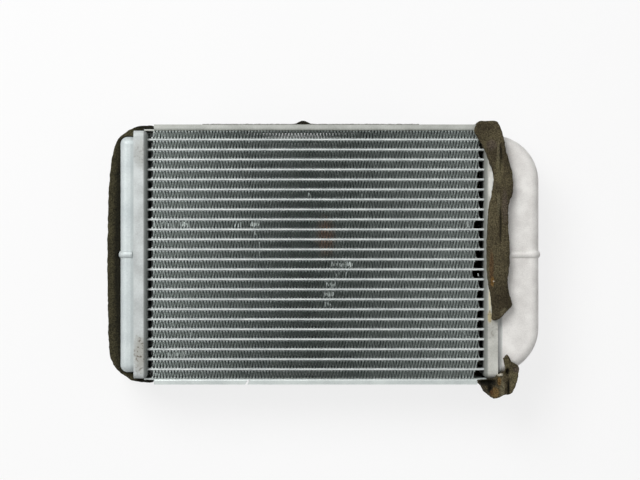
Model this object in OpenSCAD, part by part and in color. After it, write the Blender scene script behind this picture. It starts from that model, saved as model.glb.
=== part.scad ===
// Heater core of a vehicle: a brazed aluminium matrix of flat tubes and corrugated fins
// between two end tanks, with the remains of its foam seals. It lies on its back: X runs
// along the tubes, Y across the stack, Z out of the air face. Millimetres.

/* [Core] */
// Width of the core between the two header plates
core_w = 203.7; // [150:0.1:260]
// Depth of the core, which is the breadth of a flat tube
core_d = 30; // [22:0.5:40]
// Number of flat tubes
tube_count = 24; // [22:1:24]
// Height of a fin row between two tubes
fin_h = 4.75; // [4.5:0.05:5.5]

/* [Flat tubes] */
// Thickness of a flat tube
tube_t = 1.3; // [1:0.05:2]
// Sheet that a flat tube is folded from
tube_wall = 0.28; // [0.2:0.01:0.4]
// Length of tube that stands out inside each header plate
tube_stub = 2; // [0.5:0.25:3]
// Gap between a tube's edge and the wall of the tank round it
stub_gap = 0.55; // [0.5:0.05:2]
// Film of braze round a tube in its slot and under each fin crest
braze_film = 0.02; // [0.01:0.01:0.05]

/* [Fins] */
// Length of one fold of the fin, from crest to crest
fin_pitch = 1.92; // [1.6:0.02:3]
// Sheet that a fin is rolled from
fin_t = 0.1; // [0.06:0.01:0.16]
// Gap between the last fold and the header plate
fin_end_gap = 2.2; // [1:0.1:5]

/* [Side plates] */
// Sheet that a side plate is folded from
side_t = 1; // [0.6:0.1:1.6]
// Height of a side plate, over its web and legs
side_h = 3.75; // [2.5:0.05:6]
// Inside radius of a side plate's two bends
side_bend = 0.6; // [0.3:0.1:1]
// How far the legs stop short of the header plate
side_cutback = 3.9; // [2.5:0.1:8]
// How far the web laps onto the end of a header pan
side_lap = 2.2; // [1.5:0.1:6]
// Place of the relief cut along the bottom side plate
relief_x = -40.5; // [-70:0.5:70]
// Width of the relief cut
relief_w = 1.1; // [0.6:0.1:2]
// Lean of the relief cut
relief_lean = 30; // [0:1:40]

/* [Header pans] */
// Sheet that a header pan is pressed from
header_t = 1.5; // [1:0.1:2]
// Height of a header pan, from its plate to its rim
header_h = 8.1; // [6:0.1:12]
// Inside radius of the bend round the plate
header_bend = 1.1; // [0.5:0.1:1.6]
// Inside radius of a pan's upright corners
header_corner = 1.7; // [1.6:0.1:3]
// Gap between a pan's end and the side plate that laps it
header_gap = 0.1; // [0.05:0.05:0.3]

/* [Tanks] */
// Wall of both tanks
tank_t = 1.4; // [1:0.1:2]
// Width of the foot that stands out round a tank's open end
foot_w = 1; // [0.5:0.1:1.5]
// Height of that foot
foot_h = 2.5; // [1.5:0.1:4]
// Gap between the foot and the pan round it
foot_gap = 0.05; // [0.05:0.01:0.2]
// How far the left tank stands out of its pan
left_tank_rise = 8.4; // [7:0.1:25]
// How far the left tank's ends stand in from the wall over its foot
left_tank_inset = 1; // [0:0.1:1.3]
// Radius of the left tank's edges
left_tank_edge = 4.4; // [2.5:0.1:4.5]
// Radius of the left tank's corners
left_tank_corner = 4.5; // [4.5:0.1:6]
// Length of the right tank's neck above the pan's rim
neck_h = 2.1; // [1:0.1:6]
// How far the right tank's body is wider than its neck, on each side
neck_step = 1; // [0.3:0.1:1.3]
// Height of the right tank's body above its neck
right_body_h = 23; // [22:0.1:40]
// Radius of the right tank's two large corners
right_corner = 28.2; // [20:0.1:31]
// Radius of the right tank's edges
right_edge = 5; // [4:0.1:6]
// Radius of the corners of its neck
neck_corner = 3.9; // [3:0.1:4.1]
// Width of the bead across the middle of each tank
bead_w = 4.5; // [3:0.1:6]
// Height of that bead
bead_h = 1.1; // [0.6:0.1:1.4]
// Thickness of the baffle that parts the right tank
baffle_t = 1.5; // [1:0.1:2.5]
// Gap between the baffle and the tank round it
baffle_gap = 0.1; // [0.05:0.05:0.3]

/* [Ports] */
// Bore of an inlet or outlet ferrule
port_bore = 13; // [8:0.5:13]
// Wall of a ferrule
port_wall = 0.9; // [0.6:0.1:1]
// Breadth of the ferrule's collar beyond its wall
collar_w = 0.9; // [0.5:0.1:1]
// Thickness of the collar
collar_t = 1.5; // [1:0.1:2]
// How far a ferrule stands out of the tank
port_out = 4.5; // [2.5:0.1:5.5]
// How far a ferrule reaches past the tank's wall inside
port_in = 0.6; // [0.3:0.1:2]

/* [Foam seals] */
// Foam under the back of the header pans, as it lies pressed
back_foam_t = 6; // [6:0.5:12]
// Foam over the front of the right header pan
front_foam_t = 6; // [3:0.5:10]
// Foam over the top end of the right header pan
top_foam_t = 1.8; // [1.2:0.1:2.4]
// Breadth of the left band
left_foam_d = 36; // [20:0.5:38]
// Gap between a foam band and the metal it is stuck to
foam_gap = 0.3; // [0.2:0.05:0.5]
// How far the strip in the top channel stands above its legs
strip_rise = 0.6; // [0.3:0.1:1.2]
// Height of the lump on that strip, above the legs
lump_rise = 2.6; // [2.4:0.1:3]

/* [Hidden] */
$fn = 64;
// Room that a cutting shape runs on past the face that it cuts
cut = 1;

// Levels and places that follow from the sizes above
tube_pitch = tube_t + fin_h;
fin_count = tube_count + 1;
matrix_half = (tube_count * tube_pitch + fin_h) / 2;
tank_half_z = core_d / 2 + stub_gap + tank_t;
header_half_z = tank_half_z + foot_w + foot_gap + header_t;
header_half_y = matrix_half - header_gap;
tank_half_y = header_half_y - header_t - foot_gap - foot_w;
left_half_y = tank_half_y - left_tank_inset;
mid_z = back_foam_t + header_half_z;
front_z = mid_z + header_half_z;
header_x = core_w / 2;
rim_x = header_x + header_h;
floor_x = header_x + header_t;
foot_x = floor_x + header_bend;
left_tank_x = rim_x + left_tank_rise;
body_x = rim_x + neck_h;
right_tank_x = body_x + right_body_h;
body_half_z = tank_half_z + neck_step;
baffle_y = tube_count % 2 == 0 ? 0 : tube_pitch / 2;
web_top = matrix_half + side_t;
leg_top = matrix_half + side_h;
leg_x = header_x - side_cutback;
lap_x = header_x + side_lap;
port_x = (body_x + right_tank_x - right_edge) / 2;
port_y = tank_half_y - right_corner;

// Left band, outside: x from the tank's face towards the core, y from the side plate's legs
left_band_top = [[20.5, 0], [11.4, -0.3], [7.2, -1.6], [2.3, -4.3], [-1.8, -8.1], [-4.2, -13.7],
    [-6.4, -24], [-7.9, -45]];
left_band_bulge = -8.5;
left_band_bottom = [[-8.1, 32], [-7.2, 19.5], [-6.2, 14.5], [-4.4, 10.9], [-2.3, 8], [0.6, 5.4],
    [3.3, 4.4], [4.5, 2.8], [6.1, 1.9], [9.7, 1.4], [14.6, 0.6], [20.5, 0.6]];
// Right band on the front: x from the header plate, y from the top side plate's legs
right_band_inner = [[-3.9, 1.5], [-5.9, -1.2], [-6.7, -4.7], [-3.6, -10.2], [-0.2, -16.2],
    [2.4, -23.7], [4.7, -30.2], [4.7, -37.2], [2, -50.2], [1.4, -60.7], [0.6, -78.2],
    [1.5, -95.2], [3.2, -105.2], [4.2, -118.2]];
right_band_outer = [[6, -118.7], [9.4, -116.7], [13, -113.2], [16.4, -109.2], [16.2, -107.2],
    [14.2, -100.2], [13.9, -92.7], [15.2, -78.2], [14.2, -64.2], [14.2, -49.7], [16.9, -41.2],
    [16.9, -33.2], [15.9, -26.2], [13.1, -18.2], [11.2, -8.2], [8.5, -0.7], [6.3, 1.5]];
// Torn end of the right band: x from the header plate, y from the bottom side plate's legs
torn_end = [[13.6, 19], [10.5, 16.4], [11.6, 13.3], [11.8, 8], [6.6, 6.5], [5.8, 4.5], [1, 3.9],
    [-5.6, 3.2], [-3.3, 1], [-0.3, -2.1], [1.9, -4.3], [2.4, -6.5], [5.4, -8.3], [8.5, -7.6],
    [11.2, -6], [14.2, -6], [16.9, -4.3], [18.7, 0.1], [20, 4.5], [20.8, 10.7], [19.5, 12.5],
    [16, 14.2], [14.2, 17.7]];
// How high the torn end stands over the front of the header pan
torn_rise = 4;
// The right band past the end and the back of the pan, in x from the header plate
wrap_x = [-3.7, 7.6];
// The strip in the top channel, and the lump on it, in x
strip_x = [-69.5, 63];
lump_x = -7.7;
lump_w = 12;

// The origin is the middle of the whole part's footprint
part_left = -left_tank_x + left_band_bulge;
part_right = right_tank_x + bead_h;
part_top = leg_top + lump_rise;
part_bottom = -leg_top + min([for (p = torn_end) p[1]]);
part_mid = [(part_left + part_right) / 2, (part_top + part_bottom) / 2];

function numbered(name, i) = str(name, i < 10 ? "_0" : "_", i);
function row_y(i, count) = ((count + 1) / 2 - i) * tube_pitch;
function shifted(points, by) = [for (p = points) p + by];
// Point of a smooth curve, a share t of the way from its second to its third point
function curve_point(a, b, c, d, t) =
    b + t * (c - a + t * (2 * a - 5 * b + 4 * c - d + t * (3 * b - 3 * c + d - a))) / 2;
function smooth(points, steps) = let (last = len(points) - 1) concat(
    [for (i = [0 : last - 1], s = [0 : steps - 1]) curve_point(points[max(i - 1, 0)],
        points[i], points[i + 1], points[min(i + 2, last)], s / steps)],
    [points[last]]);

// Puts a piece that was drawn round the stack's middle into the part's own frame
module placed() translate([-part_mid[0], -part_mid[1], 0]) children();

// Turns a shape that was drawn upright so that its height runs out along X, from the given x
module on_end(x) translate([x, 0, mid_z]) rotate([0, 90, 0]) children();

// Flat outline with two round ends
module round_ended(breadth, thickness) {
    straight = (breadth - thickness) / 2;
    square([2 * straight, thickness], center = true);
    for (side = [-1, 1]) translate([side * straight, 0]) circle(d = thickness, $fn = 32);
}

// Rectangle with four round corners
module round_cornered(half_x, half_y, r) {
    square([2 * (half_x - r), 2 * half_y], center = true);
    square([2 * half_x, 2 * (half_y - r)], center = true);
    for (x = [r - half_x, half_x - r], y = [r - half_y, half_y - r]) translate([x, y]) circle(r);
}

// Section of a wall that ends in one round edge, at zero height
module dish_section(breadth, height, edge) difference() {
    square([breadth, height]);
    difference() {
        translate([breadth - edge, -cut]) square([edge + cut, edge + cut]);
        translate([breadth - edge, edge]) circle(edge);
    }
}

// Section from an axis outwards that ends in two round edges
module rim_section(breadth, half_h, edge) {
    translate([0, -half_h]) square([breadth - edge, 2 * half_h]);
    translate([0, edge - half_h]) square([breadth, 2 * (half_h - edge)]);
    for (side = [-1, 1]) translate([breadth - edge, side * (half_h - edge)]) circle(edge);
}

// Solid box with round upright corners and a round edge about its closed end, at zero height
module dish(half_x, half_y, height, corner, edge) {
    run_x = half_x - corner;
    run_y = half_y - corner;
    translate([-run_x, -run_y, 0]) cube([2 * run_x, 2 * run_y, height]);
    for (quarter = [0 : 3])
        translate([(quarter % 3 == 0 ? 1 : -1) * run_x, (quarter < 2 ? 1 : -1) * run_y, 0])
            rotate([0, 0, 90 * quarter]) rotate_extrude(angle = 90)
                dish_section(corner, height, edge);
    for (turn = [0, 180]) rotate([0, 0, turn]) {
        translate([run_x, run_y, 0]) rotate([90, 0, 0])
            linear_extrude(2 * run_y) dish_section(corner, height, edge);
        translate([-run_x, run_y, 0]) rotate([90, 0, 90])
            linear_extrude(2 * run_x) dish_section(corner, height, edge);
    }
}

// Flat tube folded from sheet, with the fold as a web down its middle
module tube(i) color("gainsboro") {
    length = core_w + 2 * (header_t + tube_stub);
    translate([0, row_y(i, tube_count), 0]) on_end(-length / 2)
        linear_extrude(length) difference() {
            round_ended(core_d, tube_t);
            difference() {
                round_ended(core_d - 2 * tube_wall, tube_t - 2 * tube_wall);
                square([2 * tube_wall, tube_t], center = true);
            }
        }
}

// Corrugated fin: one strip of sheet folded to and fro between two tubes
module fin(i) color("darkgray") {
    folds = floor((core_w - 2 * fin_end_gap) / fin_pitch);
    crest = fin_h / 2 - braze_film;
    // Height that the sheet itself takes up where it turns back at a crest
    turn_h = fin_t * sqrt(1 + pow(4 * crest / fin_pitch, 2));
    upper = [for (k = [0 : 2 * folds])
        [(k - folds) * fin_pitch / 2, k % 2 == 0 ? turn_h - crest : crest]];
    lower = [for (k = [2 * folds : -1 : 0])
        [(k - folds) * fin_pitch / 2, k % 2 == 0 ? -crest : crest - turn_h]];
    translate([0, row_y(i, fin_count), mid_z - core_d / 2])
        linear_extrude(core_d) polygon(concat(upper, lower));
}

// Header pan, pressed from sheet and slotted for the tubes
module header_pan() color("silver") difference() {
    on_end(header_x) difference() {
        dish(header_half_z, header_half_y, header_h, header_corner + header_t,
            header_bend + header_t);
        translate([0, 0, header_t]) dish(header_half_z - header_t, header_half_y - header_t,
            header_h, header_corner, header_bend);
    }
    for (i = [1 : tube_count])
        translate([0, row_y(i, tube_count), 0]) on_end(header_x - cut)
            linear_extrude(header_t + 2 * cut)
                round_ended(core_d + 2 * braze_film, tube_t + 2 * braze_film);
}

module left_header() mirror([1, 0, 0]) header_pan();
module right_header() header_pan();

// Foot that a tank stands on, where the bend round the pan's floor begins
module tank_foot() on_end(foot_x) linear_extrude(foot_h) round_cornered(
    tank_half_z + foot_w, tank_half_y + foot_w, header_corner - foot_gap);

// Bead pressed out across a tank, over its front, its face and its back
module bead(half_z, base_x, face_x, edge) translate([0, baffle_y, 0]) on_end(base_x) {
    rise = face_x - base_x - edge;
    for (turn = [0, 180]) rotate([0, 0, turn]) {
        translate([half_z, 0, 0]) linear_extrude(rise) bead_section();
        translate([half_z - edge, 0, rise]) rotate([90, 0, 0])
            rotate_extrude(angle = 90) translate([edge, 0]) bead_section();
    }
    translate([half_z - edge, 0, rise + edge]) rotate([0, -90, 0])
        linear_extrude(2 * (half_z - edge)) bead_section();
}

// Crown of the bead, from the middle of the tank's wall outwards
module bead_section() intersection() {
    r = (bead_w * bead_w / 4 + bead_h * bead_h) / (2 * bead_h);
    translate([bead_h - r, 0]) circle(r);
    translate([-tank_t / 2, -bead_w]) square([bead_w, 2 * bead_w]);
}

// Left tank, a shallow drawn cap that turns the coolant back
module left_tank() color("lightsteelblue") mirror([1, 0, 0]) difference() {
    union() {
        left_cap(0);
        tank_foot();
        bead(tank_half_z, rim_x + cut, left_tank_x, left_tank_edge);
    }
    left_cap(tank_t);
    tank_hollow(foot_h - tank_t);
}

// The left tank's outline, shrunk all round by a wall; the hollow runs on through its foot
module left_cap(wall) translate([left_tank_x - wall, 0, mid_z]) rotate([0, -90, 0])
    dish(tank_half_z - wall, left_half_y - wall, left_tank_x - foot_x,
        left_tank_corner - wall, left_tank_edge - wall);

// Hollow at a tank's open end, wide enough to clear the ends of the tubes
module tank_hollow(height) on_end(foot_x - cut) linear_extrude(height + cut)
    round_cornered(tank_half_z - tank_t, tank_half_y - tank_t, neck_corner - tank_t);

// Right tank, a deeper drawn cap: a neck in the pan, and a body with large round corners
module right_tank() color("whitesmoke") difference() {
    union() {
        right_body(0);
        tank_foot();
        on_end(foot_x) linear_extrude(body_x - foot_x)
            round_cornered(tank_half_z, tank_half_y, neck_corner);
        bead(body_half_z, body_x + cut, right_tank_x, right_edge);
    }
    right_body(tank_t);
    tank_hollow(body_x - foot_x + tank_t + cut);
    for (side = [-1, 1]) translate([port_x, side * port_y, 0])
        cylinder(r = port_bore / 2 + port_wall + braze_film, h = mid_z);
}

// The right tank's body, shrunk all round by a wall
module right_body(wall) intersection() {
    corner_x = right_tank_x - right_corner;
    base_x = min(corner_x, body_x) - cut;
    half_z = body_half_z - wall;
    translate([0, 0, mid_z]) {
        for (side = [0, 1]) mirror([0, side, 0]) {
            translate([corner_x, port_y, 0]) rotate_extrude(angle = 90)
                rim_section(right_corner - wall, half_z, right_edge - wall);
            translate([base_x, port_y, 0]) rotate([90, 0, 90]) linear_extrude(corner_x - base_x)
                rim_section(right_corner - wall, half_z, right_edge - wall);
        }
        translate([corner_x, port_y, 0]) rotate([90, 0, 0]) linear_extrude(2 * port_y)
            rim_section(right_corner - wall, half_z, right_edge - wall);
        translate([base_x, -port_y, -half_z]) cube([corner_x - base_x, 2 * port_y, 2 * half_z]);
    }
    translate([body_x + wall, -tank_half_y, 0]) cube([right_body_h, 2 * tank_half_y, front_z]);
}

// Side plate along the top of the stack, a channel whose web runs on over the header pans
module side_plate() color("silver") {
    outer_bend = side_bend + side_t;
    translate([-leg_x, matrix_half, mid_z]) rotate([90, 0, 90]) linear_extrude(2 * leg_x)
        translate([side_h, 0]) mirror([1, 0]) difference() {
            rim_section(side_h, core_d / 2, outer_bend);
            translate([-side_t, 0]) rim_section(side_h, core_d / 2 - side_t, side_bend);
        }
    translate([-lap_x, matrix_half, mid_z - core_d / 2 + outer_bend])
        cube([2 * lap_x, side_t, core_d - 2 * outer_bend]);
}

module top_side_plate() side_plate();

// The bottom plate's legs are cut through so that the plate can give as the core warms up
module bottom_side_plate() difference() {
    mirror([0, 1, 0]) side_plate();
    translate([relief_x, -web_top, 0]) rotate([0, 0, -relief_lean])
        translate([-relief_w / 2, -2 * side_h, 0]) cube([relief_w, 2 * side_h, front_z]);
}

// Baffle across the right tank, from the header plate to the tank's face
module baffle() color("silver")
    translate([0, baffle_y + baffle_t / 2, mid_z]) rotate([90, 0, 0]) linear_extrude(baffle_t) {
        gap = tank_t + baffle_gap;
        translate([floor_x + baffle_gap, gap - tank_half_z])
            square([body_x - floor_x + gap, 2 * (tank_half_z - gap)]);
        translate([body_x + gap, 0])
            rim_section(right_body_h - 2 * gap, body_half_z - gap, right_edge - gap);
    }

// Inlet and outlet ferrules, turned rings brazed into the back of the right tank
module port_ferrules() color("gold") {
    wall_z = mid_z - body_half_z;
    outer_r = port_bore / 2 + port_wall;
    for (side = [-1, 1]) translate([port_x, side * port_y, wall_z - port_out]) difference() {
        union() {
            cylinder(r = outer_r, h = port_out + tank_t + port_in);
            translate([0, 0, port_out - collar_t - braze_film])
                cylinder(r = outer_r + collar_w, h = collar_t);
        }
        translate([0, 0, -cut])
            cylinder(r = port_bore / 2, h = port_out + tank_t + port_in + 2 * cut);
    }
}

// Plan of the metal on one side that the foam is stuck to, with the gap kept round it
module metal_plan(face_x, half_y, corner) {
    reach = half_y + foam_gap;
    outer_r = corner + foam_gap;
    translate([0, outer_r - reach]) square([face_x + foam_gap, 2 * (reach - outer_r)]);
    translate([0, -reach]) square([face_x - corner, 2 * reach]);
    for (side = [-1, 1]) translate([face_x - corner, side * (reach - outer_r)]) circle(outer_r);
    translate([0, baffle_y - bead_w / 2 - foam_gap])
        square([face_x + bead_h + foam_gap, bead_w + 2 * foam_gap]);
    plan_step(body_x, half_y);
    plan_step(rim_x, header_half_y);
    plan_step(lap_x, web_top);
    plan_step(leg_x, leg_top);
}

module plan_step(reach_x, half_y) translate([0, -half_y - foam_gap])
    square([reach_x + foam_gap, 2 * (half_y + foam_gap)]);

// Foam band round the left tank, which ends on the webs of the side plates
module left_foam_band() color([0.2, 0.19, 0.14]) linear_extrude(left_foam_d) difference() {
    polygon(smooth(concat(
        shifted(left_band_top, [-left_tank_x, leg_top]),
        [[-left_tank_x + left_band_bulge, 0]],
        shifted(left_band_bottom, [-left_tank_x, -leg_top])), 3));
    mirror([1, 0]) metal_plan(left_tank_x, left_half_y, left_tank_edge);
}

// Foam strip pressed into the channel of the top side plate, with one lump that swells out
module top_foam_strip() color([0.2, 0.19, 0.14]) {
    half_z = core_d / 2 - side_t - foam_gap;
    top = leg_top + strip_rise;
    lump = [for (a = [-180 : 30 : 180])
        [lump_x + a / 360 * lump_w, top + (lump_rise - strip_rise) * (1 + cos(a)) / 2]];
    translate([0, 0, mid_z - half_z]) linear_extrude(2 * half_z) polygon(concat(
        [[strip_x[0], web_top + foam_gap], [strip_x[0], top]], lump,
        [[strip_x[1], top], [strip_x[1], web_top + foam_gap]]));
}

// Foam band round the right header pan, torn through on the front near its lower end
module right_foam_band() color([0.3, 0.28, 0.2]) {
    torn_plan = shifted(torn_end, [header_x, -leg_top]);
    translate([0, 0, front_z + foam_gap]) {
        linear_extrude(front_foam_t - foam_gap) polygon(concat(
            smooth(shifted(right_band_inner, [header_x, leg_top]), 3),
            smooth(shifted(right_band_outer, [header_x, leg_top]), 3)));
        linear_extrude(torn_rise - foam_gap) polygon(torn_plan);
    }
    linear_extrude(front_z + front_foam_t) difference() {
        translate([header_x + wrap_x[0], 0])
            square([wrap_x[1] - wrap_x[0], leg_top + top_foam_t]);
        metal_plan(right_tank_x, tank_half_y, right_corner);
    }
    linear_extrude(front_z + torn_rise) difference() {
        polygon(torn_plan);
        metal_plan(right_tank_x, tank_half_y, right_corner);
    }
    translate([header_x + wrap_x[0], -leg_top, 0]) cube([wrap_x[1] - wrap_x[0],
        2 * leg_top + top_foam_t, back_foam_t - foam_gap]);
}

for (i = [1 : tube_count])
    placed() tube(i);
for (i = [1 : fin_count])
    placed() fin(i);
placed() left_header();
placed() right_header();
placed() left_tank();
placed() right_tank();
placed() top_side_plate();
placed() bottom_side_plate();
placed() baffle();
placed() port_ferrules();
placed() left_foam_band();
placed() top_foam_strip();
placed() right_foam_band();
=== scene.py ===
import math
import random
import bmesh
import bpy
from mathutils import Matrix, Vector, noise


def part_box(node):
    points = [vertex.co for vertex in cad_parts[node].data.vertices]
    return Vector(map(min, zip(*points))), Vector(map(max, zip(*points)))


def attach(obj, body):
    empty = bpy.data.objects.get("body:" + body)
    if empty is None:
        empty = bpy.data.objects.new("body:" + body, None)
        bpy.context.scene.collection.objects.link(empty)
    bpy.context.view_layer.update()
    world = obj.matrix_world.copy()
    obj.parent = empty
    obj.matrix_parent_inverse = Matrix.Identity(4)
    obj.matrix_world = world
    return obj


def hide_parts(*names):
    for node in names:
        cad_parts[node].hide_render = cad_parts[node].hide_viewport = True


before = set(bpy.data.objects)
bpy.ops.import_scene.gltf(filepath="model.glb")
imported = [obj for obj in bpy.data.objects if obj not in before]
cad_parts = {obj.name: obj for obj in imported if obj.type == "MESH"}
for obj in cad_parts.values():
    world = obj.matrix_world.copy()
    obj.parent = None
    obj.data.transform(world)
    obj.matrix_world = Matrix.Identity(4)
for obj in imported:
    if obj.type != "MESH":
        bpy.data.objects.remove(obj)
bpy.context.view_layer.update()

# Flat tubes: twenty-four strips of aluminium sheet, each folded and brazed into a flat tube.
# They run from tank to tank between the fins, and their round noses show as thin bright lines.
MM = 0.001
TUBES = [name for name in sorted(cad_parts) if name.startswith("tube_")]
METAL_GRAIN = 0.7 * MM
METAL_RELIEF = 0.3 * MM
# Mottled metal: the clouds' share in it, the range that it spans, where in that range the dull
# and the pale colour lie, and how far the roughness goes up and down with it
CLOUD_SHARE = 0.65
MOTTLE_LOW = 0.3
MOTTLE_HIGH = 0.7
DULL_AT = 0.38
PALE_AT = 0.62
ROUGH_SPREAD = 0.08
# A patch is full within this share of its half sizes, and its ragged edge reaches this far out
PATCH_FULL = 0.6
PATCH_EDGE = 1.3


def node(tree, kind, inputs=None, **settings):
    """Adds a node and feeds its sockets, by name or number, from values or other sockets."""
    made = tree.nodes.new(kind)
    for key, value in settings.items():
        setattr(made, key, value)
    for key, value in (inputs or {}).items():
        if isinstance(value, bpy.types.NodeSocket):
            tree.links.new(value, made.inputs[key])
        else:
            made.inputs[key].default_value = value
    return made


def math_of(tree, operation, first, second=0.0):
    """The result of one operation on numbers or sockets."""
    return node(tree, "ShaderNodeMath", {0: first, 1: second}, operation=operation).outputs[0]


def colour(red, green, blue):
    """A colour in screen values from 0 to 255, as the linear values that a shader takes."""
    screen = (red / 255, green / 255, blue / 255)
    return [((c + 0.055) / 1.055) ** 2.4 if c > 0.04 else c / 12.92 for c in screen] + [1.0]


def ramp(tree, share, low, high, low_at=0.0, high_at=1.0):
    """Colour that goes from low to high as share goes from low_at to high_at."""
    made = node(tree, "ShaderNodeValToRGB", {"Fac": share})
    made.color_ramp.elements[0].position = low_at
    made.color_ramp.elements[0].color = low
    made.color_ramp.elements[1].position = high_at
    made.color_ramp.elements[1].color = high
    return made.outputs["Color"]


def stain(tree, base, share, tint):
    """The base colour with a tint over it, as far as share says."""
    return node(tree, "ShaderNodeMix", {0: share, 6: base, 7: tint}, data_type="RGBA").outputs[2]


def speckle(tree, place, size, detail=3.0):
    """Soft noise whose patches are about size metres across."""
    return node(tree, "ShaderNodeTexNoise",
                {"Vector": place, "Scale": 1 / size, "Detail": detail}).outputs["Fac"]


def patch(tree, place, middle, half, ragged=0.5, grain=2 * MM):
    """A mask that is 1 in an oval round middle, with ragged edges."""
    shifted = node(tree, "ShaderNodeVectorMath", {0: place, 1: middle}, operation="SUBTRACT")
    scaled = node(tree, "ShaderNodeVectorMath", {0: shifted.outputs[0], 1: half},
                  operation="DIVIDE")
    away = node(tree, "ShaderNodeVectorMath", {0: scaled.outputs[0]}, operation="LENGTH")
    noisy = math_of(tree, "MULTIPLY", speckle(tree, place, grain), ragged * 2)
    reach = math_of(tree, "ADD", away.outputs["Value"], noisy)
    return node(tree, "ShaderNodeMapRange", {
        "Value": reach, "From Min": 1 + ragged * PATCH_EDGE,
        "From Max": PATCH_FULL + ragged}).outputs["Result"]


def sheet_metal(name, pale, dull, roughness, metallic, cloud=11 * MM, bump=0.25):
    """Brazed aluminium: a dull grey skin with cloudy patches, fine grain and a little bump."""
    material = bpy.data.materials.new(name)
    material.use_nodes = True
    tree = material.node_tree
    shader = tree.nodes["Principled BSDF"]
    place = node(tree, "ShaderNodeTexCoord").outputs["Object"]
    clouds = speckle(tree, place, cloud, 5.0)
    grain = speckle(tree, place, METAL_GRAIN)
    mottling = math_of(tree, "ADD", math_of(tree, "MULTIPLY", clouds, CLOUD_SHARE),
                       math_of(tree, "MULTIPLY", grain, 1 - CLOUD_SHARE))
    skin = ramp(tree, mottling, dull, pale, DULL_AT, PALE_AT)
    tree.links.new(skin, shader.inputs["Base Color"])
    shader.inputs["Metallic"].default_value = metallic
    rough = node(tree, "ShaderNodeMapRange", {
        "Value": mottling, "From Min": MOTTLE_LOW, "From Max": MOTTLE_HIGH,
        "To Min": roughness + ROUGH_SPREAD, "To Max": roughness - ROUGH_SPREAD})
    tree.links.new(rough.outputs["Result"], shader.inputs["Roughness"])
    relief = node(tree, "ShaderNodeBump", {
        "Height": mottling, "Strength": bump, "Distance": METAL_RELIEF})
    tree.links.new(relief.outputs["Normal"], shader.inputs["Normal"])
    return material, tree, shader, place, skin


def dress(name, material):
    """Gives a CAD node its finish."""
    for material_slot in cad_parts[name].material_slots:
        material_slot.material = material


tube_skin = sheet_metal("tube_aluminium", colour(215, 220, 218), colour(188, 194, 193),
                        roughness=0.6, metallic=0.15)[0]
for name in TUBES:
    dress(name, tube_skin)

# Fins: strips of thin aluminium rolled into folds, with louvres cut and twisted out of every
# leg, and brazed by their crests between the tubes. Knocks have laid some front edges over.
FINS = [name for name in sorted(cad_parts) if name.startswith("fin_")]
LEGS = 206
FIN_SHEET = 0.08 * MM
CREST_FLAT = 0.35 * MM
FOLD_WANDER = 0.05 * MM
LOUVRE_LENGTH = 2.7 * MM
LOUVRE_BREADTH = 0.95 * MM
LOUVRE_PITCH = 1.3 * MM
LOUVRE_TILT = math.radians(25)
FRONT_LOUVRES = 4
BACK_LOUVRES = 3
BRAZE_BREADTH = 0.95 * MM
BRAZE_HEIGHT = 0.8 * MM
BRAZE_SUNK = 0.5 * MM
BENT_BREADTH = 0.55 * MM
BENT_LENGTH = 3.3 * MM
# Bent tabs: how they curl, as the drop over the squared distance from their middle in metres;
# how far they turn about each axis in radians, and how their breadth and length vary, each with
# its seed; how far they wander along the core in shares of a tab, and how far they shift up and
# down and lie sunk in it in millimetres
TAB_CURL = 700.0
TAB_TURNS = ((0.25, 3), (1.0, 4), (0.4, 5))
TAB_SIZES = ((0.6, 1.3, 6), (0.5, 1.05, 7))
TAB_WANDER = 0.3
TAB_SHIFT = 0.5
TAB_SUNK = (0.3, 0.5)
# Knocked places: the fin row from the top, where they start and end along the core in
# millimetres from its middle, and how many tabs lie on each leg
KNOCKS = [(1, -99, -92, 0.6), (7, -5, -3.2, 1), (7, 27, 28.4, 1), (10, -98, -85, 0.6),
          (10, -83, -76.5, 1.2), (10, -49, -45, 0.7), (10, -39.5, -34.2, 1.8),
          (10, 91.5, 93, 1), (11, -37.6, -36, 1.5), (12, -34.4, -33.4, 0.7),
          (13, -34.4, -33.4, 0.7), (14, 9.2, 22.5, 1), (15, 18.2, 19.6, 1), (15, 11, 15, 0.4),
          (15, 98, 99, 1), (16, 6.2, 12.3, 1.2), (17, 5, 11, 1.8), (18, 5.6, 9.2, 1),
          (20, -76, -75, 1), (20, -87, -86, 1), (21, -76, -75, 1), (21, 89, 90.4, 1),
          (23, -90, -78.5, 1), (25, -99, -94, 0.8)]
# Rows whose last folds were cut short at the right, and by how many legs
CUT_SHORT = {10: 3, 13: 2, 14: 3, 15: 4, 25: 3}

# The core's middle is rusty. Towards the tanks the fins are painted paler, more so on the left:
# painted light, standing in for the light that reaches further into the fins there
RUST = colour(160, 124, 102)
RUST_PLACE = Vector((6 * MM, 11 * MM, 0))
RUST_HALF = (6.5 * MM, 13 * MM, 30 * MM)
RUST_STRENGTH = 0.55
FIN_PAINTED_LIGHT = colour(216, 223, 220)
PAINTED_LIGHT_MIDDLE = -5 * MM
PAINTED_LIGHT_REACH = 95 * MM
PAINTED_LIGHT_SHARES = ((-1.0, 0.72), (1.0, 0.45))

# Fin metal, darker than the bent tabs: its own dull tone and partly painted shade of the deep
# core
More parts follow.
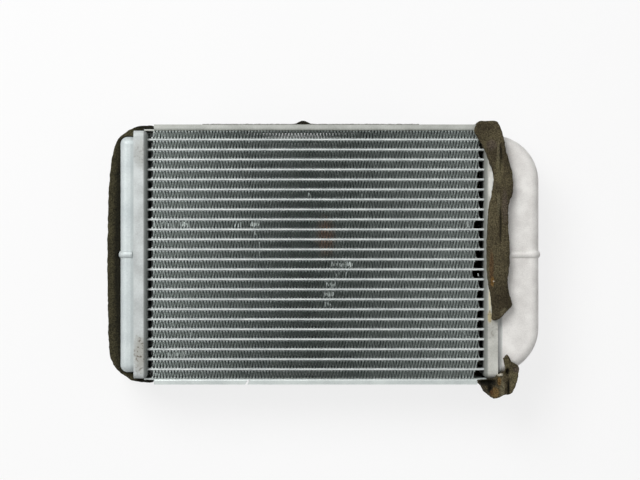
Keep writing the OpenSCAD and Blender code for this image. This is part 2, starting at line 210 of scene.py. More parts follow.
fin_skin, fin_tree, fin_shader, fin_place, fin_colour = sheet_metal(
    "fin_aluminium", colour(130, 138, 134), colour(108, 116, 112),
    roughness=0.5, metallic=0.35, cloud=6 * MM, bump=0.15)
core_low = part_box(FINS[-1])[0]
core_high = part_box(FINS[0])[1]
core_mid = (core_low + core_high) / 2
rust = patch(fin_tree, fin_place, core_mid + RUST_PLACE, RUST_HALF)
# Painted light: the fins grow paler towards the tanks
off_middle = math_of(fin_tree, "SUBTRACT", node(fin_tree, "ShaderNodeSeparateXYZ", {
    0: fin_place}).outputs[0], core_mid.x + PAINTED_LIGHT_MIDDLE)
for side_way, most in PAINTED_LIGHT_SHARES:
    share = node(fin_tree, "ShaderNodeMapRange", {
        "Value": math_of(fin_tree, "MULTIPLY", off_middle, side_way),
        "From Max": PAINTED_LIGHT_REACH, "To Max": most}).outputs["Result"]
    fin_colour = stain(fin_tree, fin_colour, share, FIN_PAINTED_LIGHT)
fin_colour = stain(fin_tree, fin_colour, math_of(fin_tree, "MULTIPLY", rust, RUST_STRENGTH), RUST)
fin_tree.links.new(fin_colour, fin_shader.inputs["Base Color"])
bent_skin = sheet_metal("bent_fin_aluminium", colour(186, 194, 191), colour(162, 169, 166),
                        roughness=0.5, metallic=0.3)[0]


def new_tree(name, sockets):
    """An empty Geometry Nodes tree with a geometry in and out, and named inputs."""
    tree = bpy.data.node_groups.new(name, "GeometryNodeTree")
    tree.interface.new_socket("Geometry", in_out="INPUT", socket_type="NodeSocketGeometry")
    tree.interface.new_socket("Geometry", in_out="OUTPUT", socket_type="NodeSocketGeometry")
    for label, kind in sockets.items():
        tree.interface.new_socket(label, in_out="INPUT", socket_type="NodeSocket" + kind)
    return tree, tree.nodes.new("NodeGroupInput").outputs


def vector_of(tree, x=0.0, y=0.0, z=0.0):
    """A vector from three numbers or sockets."""
    return node(tree, "ShaderNodeCombineXYZ", {0: x, 1: y, 2: z}).outputs[0]


def random_of(tree, low, high, seed):
    """A random number for each element."""
    return node(tree, "FunctionNodeRandomValue", {2: low, 3: high, 8: seed}).outputs[1]


def close_tree(tree, pieces):
    """Gives each piece its material, joins the pieces as plain geometry and ends the tree."""
    joined = node(tree, "GeometryNodeJoinGeometry")
    for piece, material in pieces:
        whole = node(tree, "GeometryNodeRealizeInstances", {0: piece})
        painted = node(tree, "GeometryNodeSetMaterial", {"Geometry": whole.outputs[0]})
        painted.inputs["Material"].default_value = material
        tree.links.new(painted.outputs[0], joined.inputs[0])
    node(tree, "NodeGroupOutput", {0: joined.outputs[0]})


def grow(name, tree, values, points=()):
    """Runs a tree on some points and keeps the result as a plain mesh."""
    seed_mesh = bpy.data.meshes.new(name + "_points")
    seed_mesh.from_pydata([tuple(point) for point in points], [], [])
    carrier = bpy.data.objects.new(name + "_carrier", seed_mesh)
    bpy.context.scene.collection.objects.link(carrier)
    modifier = carrier.modifiers.new("tree", "NODES")
    modifier.node_group = tree
    for item in tree.interface.items_tree:
        if item.in_out == "INPUT" and item.name in values:
            modifier[item.identifier] = values[item.name]
    graph = bpy.context.evaluated_depsgraph_get()
    mesh = bpy.data.meshes.new_from_object(carrier.evaluated_get(graph))
    carrier.modifiers.remove(modifier)
    bpy.data.objects.remove(carrier)
    mesh.name = name
    piece = bpy.data.objects.new(name, mesh)
    bpy.context.scene.collection.objects.link(piece)
    return piece


def fin_row_tree():
    """The tree that makes one fin: its folded strip, its braze, louvres and bent tabs."""
    tree, given = new_tree("fin_row", {
        "Middle": "Vector", "Legs": "Int", "Half pitch": "Float", "Crest": "Float",
        "Depth": "Float", "Sheet": "Float", "Crest flat": "Float", "Wander": "Float",
        "Braze": "Vector", "Louvre length": "Float", "Louvre breadth": "Float",
        "Louvre pitch": "Float", "Louvre tilt": "Float", "Front louvres": "Int",
        "Back louvres": "Int", "Bent breadth": "Float", "Bent length": "Float", "Seed": "Int"})

    # The folded line: two points to a crest, with the crests up and down by turns
    index = node(tree, "GeometryNodeInputIndex").outputs[0]
    second = math_of(tree, "MODULO", index, 2.0)
    crest = math_of(tree, "FLOOR", math_of(tree, "MULTIPLY", index, 0.5))
    side = math_of(tree, "SUBTRACT", math_of(
        tree, "MULTIPLY", math_of(tree, "MODULO", crest, 2.0), 2.0), 1.0)
    steps = math_of(tree, "SUBTRACT", crest, math_of(tree, "MULTIPLY", given["Legs"], 0.5))
    flat = math_of(tree, "MULTIPLY", given["Crest flat"], math_of(
        tree, "SUBTRACT", second, 0.5))
    wander = math_of(tree, "MULTIPLY", node(tree, "FunctionNodeRandomValue", {
        2: -1.0, 3: 1.0, 7: crest, 8: given["Seed"]}).outputs[1], given["Wander"])
    along = math_of(tree, "ADD", math_of(tree, "ADD", math_of(
        tree, "MULTIPLY", steps, given["Half pitch"]), flat), wander)
    height = math_of(tree, "SUBTRACT", given["Crest"],
                     math_of(tree, "MULTIPLY", given["Sheet"], 0.5))
    line = node(tree, "GeometryNodeMeshLine", {
        "Count": math_of(tree, "ADD", math_of(tree, "MULTIPLY", given["Legs"], 2.0), 2.0),
        "Start Location": given["Middle"], "Offset": (0, 0, 0)}, mode="OFFSET")
    folded = node(tree, "GeometryNodeSetPosition", {
        "Geometry": line.outputs[0], "Offset": vector_of(
            tree, along, math_of(tree, "MULTIPLY", side, height))}).outputs[0]

    # The strip itself: the folded line given the sheet's thickness and the core's depth
    curve = node(tree, "GeometryNodeMeshToCurve", {0: folded}).outputs[0]
    upright = node(tree, "GeometryNodeSetCurveNormal", {0: curve}, mode="Z_UP").outputs[0]
    section = node(tree, "GeometryNodeCurvePrimitiveQuadrilateral", {
        "Width": given["Sheet"], "Height": given["Depth"]})
    strip = node(tree, "GeometryNodeCurveToMesh", {
        "Curve": upright, "Profile Curve": section.outputs[0], "Fill Caps": True})

    # Braze that fills the narrow end of every fold
    inward = math_of(tree, "MULTIPLY", math_of(tree, "MULTIPLY", side, -0.5), node(
        tree, "ShaderNodeSeparateXYZ", {0: given["Braze"]}).outputs[1])
    narrow_ends = node(tree, "GeometryNodeSetPosition", {
        "Geometry": folded, "Offset": vector_of(
            tree, math_of(tree, "MULTIPLY", given["Crest flat"], 0.5), inward)})
    fillet = node(tree, "GeometryNodeMeshCube", {"Size": given["Braze"]})
    brazed = node(tree, "GeometryNodeInstanceOnPoints", {
        "Points": narrow_ends.outputs[0], "Instance": fillet.outputs[0],
        "Selection": math_of(tree, "LESS_THAN", second, 0.5)})

    # The louvres of one leg: slats near the front and the back, tilted opposite ways
    half_depth = math_of(tree, "MULTIPLY", given["Depth"], 0.5)
    first = math_of(tree, "SUBTRACT", half_depth, given["Louvre pitch"])
    slats = []
    for count, way in (("Front louvres", 1.0), ("Back louvres", -1.0)):
        places = node(tree, "GeometryNodeMeshLine", {
            "Count": given[count],
            "Start Location": vector_of(tree, 0.0, 0.0, math_of(tree, "MULTIPLY", first, way)),
            "Offset": vector_of(tree, 0.0, 0.0, math_of(
                tree, "MULTIPLY", given["Louvre pitch"], -way))}, mode="OFFSET")
        slat = node(tree, "GeometryNodeMeshCube", {"Size": vector_of(
            tree, given["Sheet"], given["Louvre length"], given["Louvre breadth"])})
        slats.append(node(tree, "GeometryNodeInstanceOnPoints", {
            "Points": places.outputs[0], "Instance": slat.outputs[0],
            "Rotation": vector_of(tree, 0.0, math_of(
                tree, "MULTIPLY", given["Louvre tilt"], way))}).outputs[0])
    stack = node(tree, "GeometryNodeJoinGeometry")
    for slat in slats:
        tree.links.new(slat, stack.inputs[0])

    # One stack on the middle of every leg, turned as the leg runs
    position = node(tree, "GeometryNodeInputPosition").outputs[0]
    ends = [node(tree, "GeometryNodeSampleIndex", {
        "Geometry": folded, "Value": position, "Index": math_of(
            tree, "ADD", math_of(tree, "MULTIPLY", index, 2.0), further)},
        data_type="FLOAT_VECTOR", domain="POINT").outputs[0] for further in (1.0, 2.0)]
    middle = node(tree, "ShaderNodeVectorMath", {0: node(
        tree, "ShaderNodeVectorMath", {0: ends[0], 1: ends[1]}, operation="ADD").outputs[0],
        3: 0.5}, operation="SCALE").outputs[0]
    leg = node(tree, "ShaderNodeSeparateXYZ", {0: node(
        tree, "ShaderNodeVectorMath", {0: ends[1], 1: ends[0]},
        operation="SUBTRACT").outputs[0]})
    slope = math_of(tree, "DIVIDE", math_of(tree, "MULTIPLY", leg.outputs[0], -1.0),
                    leg.outputs[1])
    legs = node(tree, "GeometryNodeMeshLine", {"Count": given["Legs"]}, mode="OFFSET")
    on_legs = node(tree, "GeometryNodeSetPosition", {
        "Geometry": legs.outputs[0], "Position": middle})
    louvres = node(tree, "GeometryNodeInstanceOnPoints", {
        "Points": on_legs.outputs[0], "Instance": stack.outputs[0],
        "Rotation": vector_of(tree, 0.0, 0.0, math_of(tree, "ARCTANGENT", slope))})

    # Front edges that were knocked over: small curled tabs on the knocked places
    tab = node(tree, "GeometryNodeMeshCube", {
        "Size": vector_of(tree, given["Bent breadth"], given["Bent length"], given["Sheet"]),
        "Vertices X": 5, "Vertices Y": 3})
    across = node(tree, "ShaderNodeSeparateXYZ", {0: position})
    curl = math_of(tree, "MULTIPLY", math_of(
        tree, "MULTIPLY", across.outputs[0], across.outputs[0]), -TAB_CURL)
    curled = node(tree, "GeometryNodeSetPosition", {
        "Geometry": tab.outputs[0], "Offset": vector_of(tree, 0.0, 0.0, curl)})
    turns = [random_of(tree, -most, most, seed) for most, seed in TAB_TURNS]
    sizes = [random_of(tree, least, most, seed) for least, most, seed in TAB_SIZES]
    bent = node(tree, "GeometryNodeInstanceOnPoints", {
        "Points": given["Geometry"], "Instance": curled.outputs[0],
        "Rotation": vector_of(tree, *turns), "Scale": vector_of(tree, *sizes, 1.0)})
    close_tree(tree, [(strip.outputs[0], fin_skin), (brazed.outputs[0], fin_skin),
                      (louvres.outputs[0], fin_skin), (bent.outputs[0], bent_skin)])
    return tree


fin_row = fin_row_tree()
for number, name in enumerate(FINS, start=1):
    low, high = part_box(name)
    half_pitch = (high.x - low.x) / LEGS
    middle = (low + high) / 2
    dealt = random.Random(number)
    legs = LEGS - CUT_SHORT.get(number, dealt.choice((0, 0, 1)))
    middle.x -= (LEGS - legs) * half_pitch / 2
    knocked = []
    for row, begin, end, dense in KNOCKS:
        if row != number:
            continue
        tabs = max(1, round((end - begin) * MM / half_pitch * dense))
        for tab in range(tabs):
            share = (tab + 0.5 + dealt.uniform(-TAB_WANDER, TAB_WANDER)) / tabs
            knocked.append((core_mid.x + (begin + (end - begin) * share) * MM,
                            middle.y + dealt.uniform(-TAB_SHIFT, TAB_SHIFT) * MM,
                            high.z - dealt.uniform(*TAB_SUNK) * MM))
    piece = grow(name + "_folds", fin_row, {
        "Middle": middle, "Legs": legs, "Half pitch": half_pitch,
        "Crest": (high.y - low.y) / 2, "Depth": high.z - low.z, "Sheet": FIN_SHEET,
        "Crest flat": CREST_FLAT, "Wander": FOLD_WANDER,
        "Louvre length": LOUVRE_LENGTH, "Louvre breadth": LOUVRE_BREADTH,
        "Louvre pitch": LOUVRE_PITCH, "Louvre tilt": LOUVRE_TILT,
        "Front louvres": FRONT_LOUVRES, "Back louvres": BACK_LOUVRES,
        "Braze": (BRAZE_BREADTH, BRAZE_HEIGHT, high.z - low.z - 2 * BRAZE_SUNK),
        "Bent breadth": BENT_BREADTH, "Bent length": BENT_LENGTH, "Seed": number}, knocked)
    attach(piece, "root")
    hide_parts(name)

# Side plates: a channel of aluminium sheet along the top and the bottom of the stack. Their
# webs run on over the header pans, and a slanted cut lets the bottom one give with the heat.
top_plate_skin = sheet_metal("top_plate_aluminium", colour(184, 186, 180),
                             colour(156, 158, 152), roughness=0.4, metallic=0.35)[0]
bottom_plate_skin = sheet_metal("bottom_plate_aluminium", colour(208, 215, 212),
                                colour(184, 191, 189), roughness=0.36, metallic=0.3)[0]
dress("top_side_plate", top_plate_skin)
dress("bottom_side_plate", bottom_plate_skin)

# Header pans: pressed from sheet, one at each end, slotted for the tubes and brazed to them.
# The left one has dirt burnt in near both ends, and the right one the marks of old glue.
DIRT = colour(158, 157, 150)
SPECKS = colour(92, 84, 70)
GLUE = colour(226, 219, 190)
OLD_GLUE = colour(184, 168, 118)
# A pale patch on the right pan
PALE_PATCH = colour(240, 241, 236)
BEND_SHADE = colour(92, 96, 92)
# The painted shade in the bend beside the fins: how far in from the pan's edge, how wide and how
# strong
BEND_INSET = 0.9 * MM
BEND_HALF = 1 * MM
BEND_STRENGTH = 0.75
SPECK_SIZE = 1.8 * MM
SPECKS_FROM = 0.54
SPECKS_FULL = 0.62
MARK_DEPTH = 8 * MM


def shade_line(tree, place, skin, line_x, half, strength, tint):
    """A darker line along y: painted shade in a bend or seam."""
    off_line = math_of(tree, "ABSOLUTE", math_of(tree, "SUBTRACT", node(
        tree, "ShaderNodeSeparateXYZ", {0: place}).outputs[0], line_x))
    share = node(tree, "ShaderNodeMapRange", {
        "Value": off_line, "From Min": half * 1.5, "From Max": half * 0.7,
        "To Max": strength}).outputs["Result"]
    return stain(tree, skin, share, tint)


def header_skin(name, pale, dull, bend_x, marks):
    """Pan metal, with painted shade in its bend by the fins, and marks that each have a middle,
    half sizes, a strength and a tint."""
    material, tree, shader, place, skin = sheet_metal(name, pale, dull, roughness=0.58,
                                                      metallic=0.2)
    specks = ramp(tree, speckle(tree, place, SPECK_SIZE, 4.0), colour(0, 0, 0),
                  colour(255, 255, 255), SPECKS_FROM, SPECKS_FULL)
    for middle, half, strength, tint in marks:
        share = patch(tree, place, middle, half)
        skin = stain(tree, skin, math_of(tree, "MULTIPLY", share, strength), tint)
        if tint in (DIRT, OLD_GLUE):
            dots = math_of(tree, "MULTIPLY", math_of(tree, "MULTIPLY", share, specks), strength)
            skin = stain(tree, skin, dots, SPECKS)
    # Painted shade along the bend by the fins
    skin = shade_line(tree, place, skin, bend_x, BEND_HALF, BEND_STRENGTH, BEND_SHADE)
    tree.links.new(skin, shader.inputs["Base Color"])
    return material


left_low, left_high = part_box("left_header")
right_low, right_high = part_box("right_header")
left_face_x = (left_low.x + left_high.x) / 2
right_face_x = (right_low.x + right_high.x) / 2

# Each mark's place, its half sizes, its strength and its tint
LEFT_MARKS = [
    ((left_face_x, core_mid.y + 61 * MM, left_high.z), (4 * MM, 9 * MM, MARK_DEPTH), 0.3, DIRT),
    ((left_face_x, core_mid.y - 60 * MM, left_high.z), (4 * MM, 12 * MM, MARK_DEPTH),
     0.85, DIRT)]
RIGHT_MARKS = [
    ((right_face_x, core_mid.y - 44 * MM, right_high.z), (4 * MM, 7 * MM, MARK_DEPTH),
     0.35, DIRT),
    ((right_low.x + 3.4 * MM, core_mid.y - 26 * MM, right_high.z),
     (1 * MM, 9 * MM, MARK_DEPTH), 0.9, GLUE),
    ((right_low.x + 3 * MM, core_mid.y - 37.5 * MM, right_high.z),
     (1.7 * MM, 3.6 * MM, MARK_DEPTH), 0.8, OLD_GLUE),
    ((right_low.x + 4 * MM, core_mid.y + 41 * MM, right_high.z),
     (1.7 * MM, 11 * MM, MARK_DEPTH), 0.7, PALE_PATCH)]
left_pan_skin = header_skin("left_pan_aluminium", colour(200, 205, 204), colour(177, 181, 180),
                            left_high.x - BEND_INSET, LEFT_MARKS)
right_pan_skin = header_skin("right_pan_aluminium", colour(204, 204, 197),
                             colour(176, 176, 169), right_low.x + BEND_INSET, RIGHT_MARKS)
dress("left_header", left_pan_skin)
dress("right_header", right_pan_skin)

# Tanks: two drawn aluminium caps brazed into the header pans. The shallow left one turns the
# coolant back, and the deeper right one carries the ports. A bead crosses the middle of each.
TANK_SHADE = colour(150, 157, 157)
# Shade in the seams by the pans: how far out from the pan's edge, how strong and how wide
LEFT_SEAM_OUT = 0.6 * MM
LEFT_SEAM_STRENGTH = 0.45
RIGHT_SEAM_OUT = 1.2 * MM
RIGHT_SEAM_STRENGTH = 0.6
SEAM_HALF = 1.3 * MM


def tank_skin(name, pale, dull, roughness, metallic, cloud, seam_x, strength):
    """Tank metal, with shade in its seam by the pan."""
    material, tree, shader, place, skin = sheet_metal(name, pale, dull, roughness, metallic,
                                                      cloud)
    skin = shade_line(tree, place, skin, seam_x, SEAM_HALF, strength, TANK_SHADE)
    tree.links.new(skin, shader.inputs["Base Color"])
    return material


dress("left_tank", tank_skin(
    "left_tank_aluminium", colour(205, 212, 211), colour(180, 188, 189), roughness=0.5,
    metallic=0.25, cloud=20 * MM, seam_x=left_low.x - LEFT_SEAM_OUT,
    strength=LEFT_SEAM_STRENGTH))
dress("right_tank", tank_skin(
    "right_tank_aluminium", colour(239, 237, 233), colour(215, 212, 208), roughness=0.48,
    metallic=0.2, cloud=9 * MM, seam_x=right_high.x + RIGHT_SEAM_OUT,
    strength=RIGHT_SEAM_STRENGTH))

# Baffle and ferrules: a plate brazed across the right tank parts its two chambers, and two
# turned rings brazed into its back take the heater pipes.
baffle_skin = sheet_metal("baffle_aluminium", colour(205, 207, 205), colour(180, 182, 180),
                          roughness=0.45, metallic=0.4)[0]
ferrule_skin = sheet_metal("ferrule_aluminium", colour(212, 212, 208), colour(188, 188, 184),
                           roughness=0.28, metallic=0.7, cloud=20 * MM, bump=0.1)[0]
dress("baffle", baffle_skin)
dress("port_ferrules", ferrule_skin)

# Foam seals: strips of open-cell foam stuck round the pans and in the top channel, dark with
# age. The left one and the channel strip are pressed thin, the right one is creased and torn.
FOAM_CELL = 0.8 * MM
FOAM_CLOUD = 12 * MM
FOAM_RELIEF = 0.6 * MM
FOAM_DULL_AT = 0.4
# Painted shade in the foam's cell pits: its colour, and where in the cells it starts and is full
PIT_COLOUR = colour(176, 176, 176)
PITS_FROM = 0.2
PITS_FULL = 0.75
WAVE_GAIN = 1.6


def foam_skin(name, pale, dull, spots=()):
    """Open-cell foam: dark, matt and grainy, with painted shade in its cell pits, and torn places
    that show rust-brown cells.
    """
    material = bpy.data.materials.new(name)
    material.use_nodes = True
    tree = material.node_tree
    shader = tree.nodes["Principled BSDF"]
    place = node(tree, "ShaderNodeTexCoord").outputs["Object"]
    cells = node(tree, "ShaderNodeTexVoronoi", {"Vector": place, "Scale": 1 / FOAM_CELL})
    clouds = speckle(tree, place, FOAM_CLOUD, 4.0)
    grain = speckle(tree, place, FOAM_CELL)
    mottling = math_of(tree, "ADD", math_of(tree, "MULTIPLY", clouds, 0.5),
                       math_of(tree, "MULTIPLY", grain, 0.5))
    skin = ramp(tree, mottling, dull, pale, FOAM_DULL_AT, PALE_AT)
    for middle, half, strength, tint in spots:
        share = patch(tree, place, middle, half, ragged=0.4, grain=1.2 * MM)
        skin = stain(tree, skin, math_of(tree, "MULTIPLY", share, strength), tint)
    # Painted shade: the foam is darker where its bump sinks it
    pits = ramp(tree, cells.outputs["Distance"], colour(255, 255, 255), PIT_COLOUR,
                PITS_FROM, PITS_FULL)
    pitted = node(tree, "ShaderNodeMix", {0: 1.0, 6: skin, 7: pits}, data_type="RGBA",
                  blend_type="MULTIPLY")
    tree.links.new(pitted.outputs[2], shader.inputs["Base Color"])
    shader.inputs["Roughness"].default_value = 0.95
    shader.inputs["Specular IOR Level"].default_value = 0.15
    relief = node(tree, "ShaderNodeBump", {
        "Height": cells.outputs["Distance"], "Strength": 0.7, "Distance": FOAM_RELIEF},
        invert=True)
    tree.links.new(relief.outputs["Normal"], shader.inputs["Normal"])
    return material


def foam_from(node_name, voxel, smoothing):
    """An even, softened mesh in the place of a plain foam solid."""
    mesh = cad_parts[node_name].data.copy()
    merged = bmesh.new()
    merged.from_mesh(mesh)
    bmesh.ops.remove_doubles(merged, verts=merged.verts, dist=0.001 * MM)
    merged.to_mesh(mesh)
    merged.free()
    rough = bpy.data.objects.new(node_name + "_rough", mesh)
    bpy.context.scene.collection.objects.link(rough)
    even = rough.modifiers.new("even", "REMESH")
    even.mode = "VOXEL"
    even.voxel_size = voxel
    soft = rough.modifiers.new("soft", "SMOOTH")
    soft.factor = 0.5
    soft.iterations = smoothing
    graph = bpy.context.evaluated_depsgraph_get()
    result = bpy.data.meshes.new_from_object(rough.evaluated_get(graph))
    bpy.data.objects.remove(rough)
    result.name = node_name + "_soft"
    piece = bpy.data.objects.new(node_name + "_soft", result)
    bpy.context.scene.collection.objects.link(piece)
    return piece


def sculpt(piece, shape):
    """Moves every point of a piece to where shape(place, normal) says."""
    normals = [vertex.normal.copy() for vertex in piece.data.vertices]
    for vertex, normal in zip(piece.data.vertices, normals):
        vertex.co = shape(vertex.co.copy(), normal)
    piece.data.update()


def crumple(place, normal, depth, size):
    """Uneven foam: sinks a point along its normal, by up to depth."""
    waves = noise.fractal(place / size, 0.7, 2.0, 3)
    return place - normal * depth * (0.5 + 0.5 * max(-1.0, min(1.0, waves * WAVE_GAIN)))


def step(value, begin, end):
    """0 before begin, 1 after end, and smooth between them."""
    share = max(0.0, min(1.0, (value - begin) / (end - begin)))
    return share * share * (3 - 2 * share)


def finish_foam(piece, node_name, material):
    """Gives a piece of foam its skin, hangs it under the root body and hides its CAD node."""
    for polygon in piece.data.polygons:
        polygon.use_smooth = True
    piece.data.materials.clear()
    piece.data.materials.append(material)
    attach(piece, "root")
    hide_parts(node_name)


# The left band: painted shade along its side by the tank, and black at both of its ends
BLACK_DIRT_AND_SHADE = colour(28, 27, 20)
BLACK_STRENGTH = 0.85
BLACK_OUT = 80 * MM
BLACK_INSET = 8 * MM
left_band = foam_from("left_foam_band", 0.9 * MM, 5)
sculpt(left_band, lambda place, normal: crumple(place, normal, 0.5 * MM, 3 * MM))
left_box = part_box("left_foam_band")
# Painted shade along the band's side by the tank
shade_by_the_tank = ((left_box[0].x + BLACK_INSET, core_mid.y, left_box[1].z),
               (4.2 * MM, BLACK_OUT, 30 * MM), BLACK_STRENGTH, BLACK_DIRT_AND_SHADE)
band_ends = [((left_box[1].x, core_mid.y + end * BLACK_OUT, left_box[1].z),
              (17 * MM, 8 * MM, 40 * MM), BLACK_STRENGTH, BLACK_DIRT_AND_SHADE) for end in (-1, 1)]
finish_foam(left_band, "left_foam_band",
            foam_skin("left_foam", colour(88, 83, 60), colour(60, 57, 42),
                      [shade_by_the_tank] + band_ends))

channel_strip = foam_from("top_foam_strip", 0.7 * MM, 3)
sculpt(channel_strip, lambda place, normal: crumple(place, normal, 0.3 * MM, 2.5 * MM))
finish_foam(channel_strip, "top_foam_strip",
            foam_skin("channel_foam", colour(62, 58, 46), colour(40, 38, 28)))

# The right band's front slopes off outwards from a wavy fold, but for its torn lower end
FRONT_FROM = 8 * MM
FRONT_FULL = 2 * MM
TORN_BELOW = -52 * MM
FOLD_AT = 11.5 * MM
FOLD_SWAY = 1.2 * MM
FOLD_WAVE = 17 * MM
FOLD_REACH = 8 * MM
FOLD_DROP = 2.2 * MM
# Creases: each one's place from the pan's wall, its middle along the band and its half length
CREASES = [(9.4 * MM, 58 * MM, 10 * MM), (9.2 * MM, 18 * MM, 13 * MM)]
CREASE_DEPTH = 1.3 * MM
CREASE_HALF = 1.1 * MM
# Hollows in the torn end, in millimetres from the pan's wall and the core's middle: the place,
# the half sizes and the depth
HOLLOWS = [(1.2, -76.6, 6, 2, 3.5), (3.3, -79.5, 1.8, 3, 3), (13.6, -70.5, 1.8, 2.8, 3),
           (14.2, -80.2, 1.2, 7, 2)]
# The top corner is worn to this radius
CORNER = 5.5 * MM

right_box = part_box("right_foam_band")
band_top = right_box[1].z
header_x = right_low.x
right_band = foam_from("right_foam_band", 0.65 * MM, 4)
corner_y = right_box[1].y - CORNER
corner_x = max(vertex.co.x for vertex in right_band.data.vertices
               if abs(vertex.co.y - corner_y) < 0.6 * MM) - CORNER


def right_band_shape(place, normal):
    """The right band: its top corner is worn round, its outer half slopes off from a fold,
    creases cross it, and its torn end is hollow."""
    if place.x > corner_x and place.y > corner_y:
        reach = math.hypot(place.x - corner_x, place.y - corner_y)
        if reach > CORNER:
            place.x = corner_x + (place.x - corner_x) * CORNER / reach
            place.y = corner_y + (place.y - corner_y) * CORNER / reach
    here = place - Vector((header_x, core_mid.y, 0))
    depth = 0.0
    front = step(place.z, band_top - FRONT_FROM, band_top - FRONT_FULL)
    if here.y > TORN_BELOW:
        fold = FOLD_AT + FOLD_SWAY * math.sin(here.y / FOLD_WAVE)
        depth += FOLD_DROP * step(here.x, fold, fold + FOLD_REACH)
        for crease_x, middle_y, half_y in CREASES:
            along = 1 - step(abs(here.y - middle_y), half_y * 0.7, half_y)
            depth += CREASE_DEPTH * along * (1 - step(abs(here.x - crease_x), 0, CREASE_HALF))
    for hollow_x, hollow_y, half_x, half_y, sunk in HOLLOWS:
        away = math.hypot((here.x / MM - hollow_x) / half_x, (here.y / MM - hollow_y) / half_y)
        depth += sunk * MM * (1 - step(away, 0.4, 1))
    place.z -= depth * front
    return crumple(place, normal, 0.5 * MM, 3 * MM)


sculpt(right_band, right_band_shape)
TORN = colour(142, 108, 60)
OLIVE = colour(118, 110, 82)
LILAC = colour(104, 92, 84)
RUSTY = colour(104, 72, 44)
PALE = colour(134, 126, 100)
LOW = colour(56, 48, 36)
LIP = colour(228, 222, 204)
# Stains and painted shading in millimetres from the pan's wall and the core's middle: the place,
# the half sizes, the strength and the tint. The black ones on the creases and in the torn end's
# hollows are painted shade, and the pale one beside the torn end's fold is painted light
STAINS_AND_SHADING = [(8, -28, 9, 16, 0.5, LOW), (9.4, 58, 0.8, 10, 0.8, BLACK_DIRT_AND_SHADE),
          (9.2, 18, 0.8, 13, 0.7, BLACK_DIRT_AND_SHADE), (7.9, 50.5, 3, 8, 0.75, OLIVE),
          (7.8, 61, 1, 9, 0.6, PALE), (8, 30, 1, 7, 0.6, PALE),
          (3.6, 66, 3.4, 3.6, 0.6, LILAC), (11.6, 29, 2, 11, 0.5, LILAC),
          (3.6, -8, 1.5, 12, 0.6, RUSTY), (4.2, -16, 1.2, 3.4, 0.9, TORN),
          (4.9, -16, 0.5, 0.5, 1, LIP), (11.5, -34.8, 2.8, 2.8, 0.6, PALE),
          (15.4, 27.5, 0.8, 0.8, 1, BLACK_DIRT_AND_SHADE), (8.5, -76.3, 1.5, 2.8, 0.6, TORN),
          (6, -83, 2.8, 3.6, 0.6, TORN), (9, -72.2, 2, 1, 1, LIP),
          (13, -66, 2, 5, 0.5, OLIVE), (1.2, -77, 7.4, 2.3, 1, BLACK_DIRT_AND_SHADE),
          (3, -80.6, 1.9, 3.2, 1, BLACK_DIRT_AND_SHADE), (3.8, -83, 1.2, 2, 0.8, RUSTY),
          (10.4, -81.5, 1.4, 8, 0.8, PALE), (17.5, -78, 3, 8, 0.8, OLIVE),
          (14.2, -80.2, 0.7, 6, 0.9, BLACK_DIRT_AND_SHADE), (13.6, -70.5, 1.2, 2.2, 0.9, BLACK_DIRT_AND_SHADE),
          (19, -69.3, 2.4, 2.2, 0.6, LILAC)]
FOAM_MARK_DEPTH = 12 * MM
spots = [((header_x + x * MM, core_mid.y + y * MM, band_top),
          (half_x * MM, half_y * MM, FOAM_MARK_DEPTH), strength, tint)
         for x, y, half_x, half_y, strength, tint in STAINS_AND_SHADING]
finish_foam(right_band, "right_foam_band",
            foam_skin("right_foam", colour(112, 103, 78), colour(74, 66, 50), spots))

# The studio: a plain white floor, a soft main lamp at the upper left with two weak ones beside
# it, and the camera, which looks straight down on the core.
CAMERA_HEIGHT = 1.2405
LENS = 111.5
FOOT_X = -14.15 * MM
FOOT_Y = 11.63 * MM
SHIFT_X = 0.03125
SENSOR_WIDTH = 36
FLOOR_HALF = 3
FLOOR_WHITE = 0.9
FLOOR_LIFT = 0.8
DARK_HALF_Y = 77.5 * MM
WALL_LEVEL = 0.05
CEILING_LEVEL = 0.4
LAMP_SIZE = 1.1
LAMPS = [("top_lamp", (-0.7, 0.9, 1.4), 24), ("left_lamp", (-1.3, 0.1, 1.0), 3),
         ("right_lamp", (1.3, 0.1, 1.0), 0.8)]

floor_mesh = bpy.data.meshes.new("floor")
floor_mesh.from_pydata([(x * FLOOR_HALF, y * FLOOR_HALF, 0) for x, y in
                        ((-1, -1), (1, -1), (1, 1), (-1, 1))], [], [(0, 1, 2, 3)])
floor = bpy.data.objects.new("floor", floor_mesh)
bpy.context.scene.collection.objects.link(floor)
floor_paint = bpy.data.materials.new("floor_paint")
floor_paint.use_nodes = True
floor_tree = floor_paint.node_tree
floor_tree.nodes.clear()
matt = node(floor_tree, "ShaderNodeBsdfDiffuse", {
    "Color": (FLOOR_WHITE, FLOOR_WHITE, FLOOR_WHITE, 1)})
white = node(floor_tree, "ShaderNodeEmission", {"Color": (1, 1, 1, 1), "Strength": 1.0})
seen = node(floor_tree, "ShaderNodeLightPath")
lifted = math_of(floor_tree, "MAXIMUM", seen.outputs["Is Camera Ray"],
                 seen.outputs["Is Glossy Ray"])
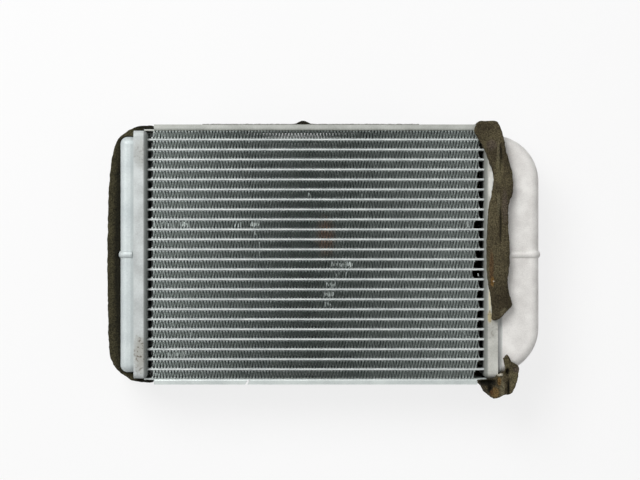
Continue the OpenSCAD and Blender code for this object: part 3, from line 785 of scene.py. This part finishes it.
# Under the core the floor stays dark, as it shows through the fins
away = node(floor_tree, "ShaderNodeVectorMath", {
    0: node(floor_tree, "ShaderNodeTexCoord").outputs["Object"],
    1: (core_mid.x, core_mid.y, 0)}, operation="SUBTRACT")
across = node(floor_tree, "ShaderNodeSeparateXYZ", {0: away.outputs[0]})
outside = math_of(floor_tree, "MAXIMUM", *[
    math_of(floor_tree, "GREATER_THAN", math_of(floor_tree, "ABSOLUTE", across.outputs[axis]),
            half) for axis, half in ((0, right_face_x - core_mid.x), (1, DARK_HALF_Y))])
lift = math_of(floor_tree, "MULTIPLY", math_of(floor_tree, "MULTIPLY", lifted, outside),
               FLOOR_LIFT)
paint = node(floor_tree, "ShaderNodeMixShader", {0: lift, 1: matt.outputs[0],
                                                 2: white.outputs[0]})
node(floor_tree, "ShaderNodeOutputMaterial", {"Surface": paint.outputs[0]})
floor_mesh.materials.append(floor_paint)

# The lamps are all soft discs that point at the core
for label, place, power in LAMPS:
    lamp_data = bpy.data.lights.new(label, "AREA")
    lamp_data.shape = "DISK"
    lamp_data.size = LAMP_SIZE
    lamp_data.energy = power
    lamp = bpy.data.objects.new(label, lamp_data)
    bpy.context.scene.collection.objects.link(lamp)
    lamp.location = place
    lamp.rotation_euler = (core_mid - lamp.location).to_track_quat("-Z", "Y").to_euler()

world = bpy.data.worlds.new("studio")
bpy.context.scene.world = world
world.use_nodes = True
sky = world.node_tree
sky.nodes["Background"].inputs["Color"].default_value = (1, 1, 1, 1)
upward = node(sky, "ShaderNodeSeparateXYZ", {
    0: node(sky, "ShaderNodeTexCoord").outputs["Generated"]}).outputs[2]
glow = math_of(sky, "MULTIPLY", math_of(sky, "MULTIPLY", upward, upward), CEILING_LEVEL)
lit = math_of(sky, "ADD", glow, WALL_LEVEL)
# Seen straight on or in the metal, the room is as white as the floor
looked_at = node(sky, "ShaderNodeLightPath")
direct = math_of(sky, "MAXIMUM", looked_at.outputs["Is Camera Ray"],
                 looked_at.outputs["Is Glossy Ray"])
sky.links.new(math_of(sky, "MAXIMUM", lit, direct), sky.nodes["Background"].inputs["Strength"])

camera_data = bpy.data.cameras.new("camera")
camera_data.sensor_width = SENSOR_WIDTH
camera_data.lens = LENS
camera_data.shift_x = SHIFT_X
camera = bpy.data.objects.new("camera", camera_data)
bpy.context.scene.collection.objects.link(camera)
camera.location = (FOOT_X, FOOT_Y, CAMERA_HEIGHT)
bpy.context.scene.camera = camera
bpy.context.scene.view_settings.view_transform = "Standard"
